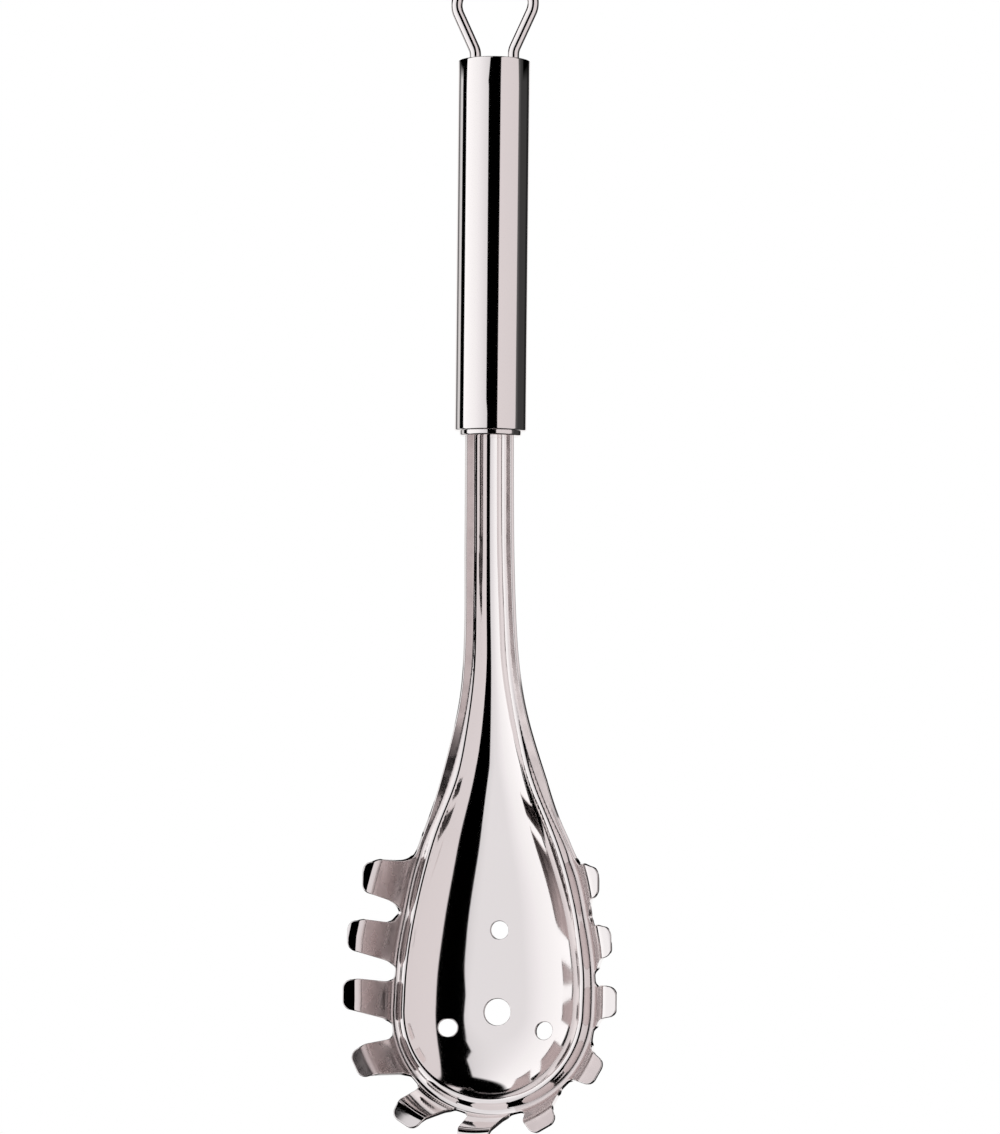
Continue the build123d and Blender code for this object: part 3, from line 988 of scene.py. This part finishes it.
@dataclass
class Studio:
    """Plain studio: tall white panels left and right, dark gaps, a pale floor and the camera.

    Lengths are in metres, angles in degrees round the object from the camera's direction,
    positive to the right.
    """

    azimuth: float = 12.8
    eye_level: float = -0.19983
    distance: float = 1.072
    roll: float = 0.6
    lens: float = 139.3
    sensor: float = 36.0
    shift_x: float = 0.0122
    shift_y: float = 0.123
    floor_level: float = -0.45
    floor_radius: float = 0.9
    floor_sides: int = 96
    floor_fade: tuple = (0.3, 0.95)
    floor_colour: str = "F2F2F0"
    lamp_power: float = 20.0
    lamp_size: float = 1.6
    lamp_level: float = 1.2
    # Ways are given by their parts to the right, upwards and towards the camera, where 1 is the
    # whole way. The dark gap between the panels ends upright on its right and slanting on its
    # left, where each pair is a part upwards and the part to the right that it ends at
    gap_right: float = 0.36
    gap_left: tuple = ((-0.05, -0.20), (0.20, -0.31), (0.45, -0.18), (0.57, -0.18), (0.72, -0.07))
    gap_fade: float = 0.008
    panel_top: float = 0.92
    panel_foot: float = -0.60
    panel_fade: float = 0.01
    # What stands further back than this is lower than the panels
    back_from: float = -0.27
    back_blend: float = 0.05
    back_top: float = 0.22
    back_fade: float = 0.03
    backdrop_angle: float = 30.0
    stretch_fade: float = 0.4
    surround: tuple = (
        Stretch(-180, 0.62, 0.40), Stretch(-146, 0.16, 0.16), Stretch(-134, 0.62, 0.82),
        Stretch(-118, 0.0, 0.0),
        Stretch(-98, 1.18, 1.02, "FDFEFF"), Stretch(-50, 1.02, 0.68, "FDFDFF"),
        Stretch(4, 0.80, 0.76, "FFF9FA"), Stretch(86, 0.14, 0.05), Stretch(98, 0.05, 0.05),
        Stretch(130, 0.02, 0.02), Stretch(152, 0.30, 0.62))

    def camera(self) -> bpy.types.Object:
        """Sets up the camera where the photograph was taken from.

        Returns:
            The camera.
        """
        data = bpy.data.cameras.new("photograph_camera")
        data.lens, data.sensor_width, data.sensor_fit = self.lens, self.sensor, "HORIZONTAL"
        data.shift_x, data.shift_y = self.shift_x, self.shift_y
        camera = bpy.data.objects.new("photograph_camera", data)
        turn = math.radians(self.azimuth)
        camera.location = (math.sin(turn) * self.distance, -math.cos(turn) * self.distance,
                           self.eye_level)
        camera.rotation_euler = (math.pi / 2, -math.radians(self.roll), turn)
        bpy.context.scene.collection.objects.link(camera)
        bpy.context.scene.camera = camera
        return camera

    def floor(self) -> bpy.types.Object:
        """Lays the pale floor, which fades to the white ground at its rim.

        Returns:
            The floor.
        """
        made = bmesh.new()
        bmesh.ops.create_circle(made, cap_ends=True, segments=self.floor_sides,
                                radius=self.floor_radius)
        bmesh.ops.translate(made, verts=made.verts, vec=(0, 0, self.floor_level))
        mesh = bpy.data.meshes.new("studio_floor")
        made.to_mesh(mesh)
        made.free()
        material = bpy.data.materials.new("matt_paper_floor")
        material.use_nodes = True
        tree = material.node_tree
        tree.nodes.clear()
        place = add_node(tree, "ShaderNodeTexCoord").outputs["Object"]
        flat = add_node(tree, "ShaderNodeVectorMath", {
            0: place, 1: (1.0, 1.0, 0.0)}, operation="MULTIPLY")
        reach = add_node(tree, "ShaderNodeVectorMath", {0: flat.outputs[0]}, operation="LENGTH")
        fade = add_node(tree, "ShaderNodeMapRange", {
            "Value": reach.outputs["Value"], "From Min": self.floor_fade[0] * self.floor_radius,
            "From Max": self.floor_fade[1] * self.floor_radius}, interpolation_type="SMOOTHSTEP")
        paper = add_node(tree, "ShaderNodeBsdfDiffuse", {"Color": linear(self.floor_colour)})
        white = add_node(tree, "ShaderNodeEmission", {"Color": linear("FFFFFF"), "Strength": 1.0})
        mixed = add_node(tree, "ShaderNodeMixShader", {
            0: fade.outputs[0], 1: paper.outputs[0], 2: white.outputs[0]})
        add_node(tree, "ShaderNodeOutputMaterial", {"Surface": mixed.outputs[0]})
        mesh.materials.append(material)
        floor = bpy.data.objects.new("studio_floor", mesh)
        floor.visible_glossy = False
        bpy.context.scene.collection.objects.link(floor)
        return floor

    def overhead(self) -> bpy.types.Object:
        """Hangs the soft overhead lamp that lights the floor; mirrors don't show it.

        Returns:
            The lamp.
        """
        data = bpy.data.lights.new("overhead_softbox", "AREA")
        data.energy, data.size = self.lamp_power, self.lamp_size
        lamp = bpy.data.objects.new("overhead_softbox", data)
        lamp.location = (0, 0, self.lamp_level)
        lamp.visible_glossy = False
        bpy.context.scene.collection.objects.link(lamp)
        return lamp

    def surround_stops(self) -> list[tuple[float, list[float]]]:
        """The light of what stands round the object, by its angle.

        Returns:
            Shares of the way round, from behind on the left, each with its colour.
        """
        stops = []
        ends = [stretch.start for stretch in self.surround[1:]] + [180]
        for stretch, end in zip(self.surround, ends):
            tint = linear(stretch.tint)[:3]
            first, last = stretch.start + self.stretch_fade, end - self.stretch_fade
            stops.append(((first + 180) / 360, [stretch.first * c for c in tint]))
            stops.append(((last + 180) / 360, [stretch.last * c for c in tint]))
        return stops

    def sums(self) -> tuple[tuple, ...]:
        """What the world works out from a way's parts, step by step.

        Returns:
            Rows of a name, an operation and its terms, which are numbers or earlier names. PAST
            gives 1 where a value is past a limit and 0 short of it, with a soft border.
        """
        behind_from = -math.cos(math.radians(self.backdrop_angle))
        return (
            ("turn", "ARCTAN2", "across", "ahead"),
            ("turn share", "MULTIPLY_ADD", "turn", 0.5 / math.pi, 0.5),
            ("surround", "RAMP", "turn share"),
            ("lift share", "MULTIPLY_ADD", "lift", 0.5, 0.5),
            ("slant share", "RAMP", "lift share"),
            ("slant", "MULTIPLY_ADD", "slant share", 2.0, -1.0),
            # Clear of the dark gap in front, on its left or on its right
            ("left", "SUBTRACT", "slant", "across"),
            ("right", "SUBTRACT", "across", self.gap_right),
            ("beyond", "MAXIMUM", "left", "right"),
            ("beside", "PAST", "beyond", 0.0, self.gap_fade),
            ("rear", "LESS_THAN", "ahead", 0.0),
            ("clear", "MAXIMUM", "beside", "rear"),
            # On a panel, or on what stands lower behind the object
            ("top", "PAST", "lift", self.panel_top, -self.panel_fade),
            ("foot", "PAST", "lift", self.panel_foot, self.panel_fade),
            ("low", "PAST", "lift", self.back_top, -self.back_fade),
            ("fore", "PAST", "ahead", self.back_from, self.back_blend),
            ("reach", "MAXIMUM", "fore", "low"),
            ("tall", "MULTIPLY", "top", "foot"),
            ("panels", "MULTIPLY", "tall", "reach"),
            ("level", "MULTIPLY", "panels", "clear"),
            # The camera sees the white ground behind the object, and so do mirrors low down
            ("mirrored", "MAXIMUM", "Is Glossy Ray", "Is Transmission Ray"),
            ("behind", "PAST", "ahead", behind_from, -self.panel_fade),
            ("within", "MULTIPLY", "behind", "low"),
            ("ground", "MULTIPLY", "mirrored", "within"),
            ("seen", "MAXIMUM", "Is Camera Ray", "ground"))

    def surroundings(self) -> bpy.types.World:
        """Makes the world: a white ground behind for the camera, panels and gaps for the light.

        Returns:
            The world.
        """
        world = bpy.data.worlds.new("studio")
        world.use_nodes = True
        tree = world.node_tree
        tree.nodes.clear()
        way = add_node(tree, "ShaderNodeTexCoord").outputs["Generated"]
        known = dict(add_node(tree, "ShaderNodeLightPath").outputs.items())
        known["lift"] = add_node(tree, "ShaderNodeSeparateXYZ", {0: way}).outputs["Z"]
        turn = math.radians(self.azimuth)
        for name, facing in (("across", (math.cos(turn), math.sin(turn), 0.0)),
                             ("ahead", (math.sin(turn), -math.cos(turn), 0.0))):
            part = add_node(tree, "ShaderNodeVectorMath", {0: way, 1: facing}, operation="DOT_PRODUCT")
            known[name] = part.outputs["Value"]
        for name, operation, *terms in self.sums():
            if operation == "PAST":
                part, limit, fade = terms
                node = add_node(tree, "ShaderNodeMapRange", {
                    "Value": known[part], "From Min": limit - fade, "From Max": limit + fade})
            elif operation == "RAMP":
                node = add_node(tree, "ShaderNodeValToRGB", {0: known[terms[0]]})
            else:
                values = {place: known.get(term, term) for place, term in enumerate(terms)}
                node = add_node(tree, "ShaderNodeMath", values, operation=operation)
            known[name] = node.outputs[0]
        set_stops(known["surround"].node.color_ramp, self.surround_stops())
        slants = [((place + 1) / 2, [(reach + 1) / 2] * 3) for place, reach in self.gap_left]
        set_stops(known["slant share"].node.color_ramp, slants)
        light = add_node(tree, "ShaderNodeBackground", {
            "Color": known["surround"], "Strength": known["level"]})
        white = add_node(tree, "ShaderNodeBackground", {"Color": linear("FFFFFF"), "Strength": 1.0})
        mixed = add_node(tree, "ShaderNodeMixShader", {
            0: known["seen"], 1: light.outputs[0], 2: white.outputs[0]})
        add_node(tree, "ShaderNodeOutputWorld", {"Surface": mixed.outputs[0]})
        bpy.context.scene.world = world
        return world

    def build(self) -> None:
        """Sets up the camera, the floor, the lamp and the world."""
        bpy.context.scene.view_settings.view_transform = "Standard"
        self.camera()
        self.floor()
        self.overhead()
        self.surroundings()
        LOG.info("studio: floor, overhead lamp, %d stretches of surroundings", len(self.surround))


def main() -> None:
    """Builds the server's pieces and the studio."""
    logging.basicConfig(level=logging.INFO, format="%(name)s: %(message)s")
    ServerHead().build()
    Handle().build()
    HangingLoop().build()
    Studio().build()


if __name__ == "__main__":
    main()
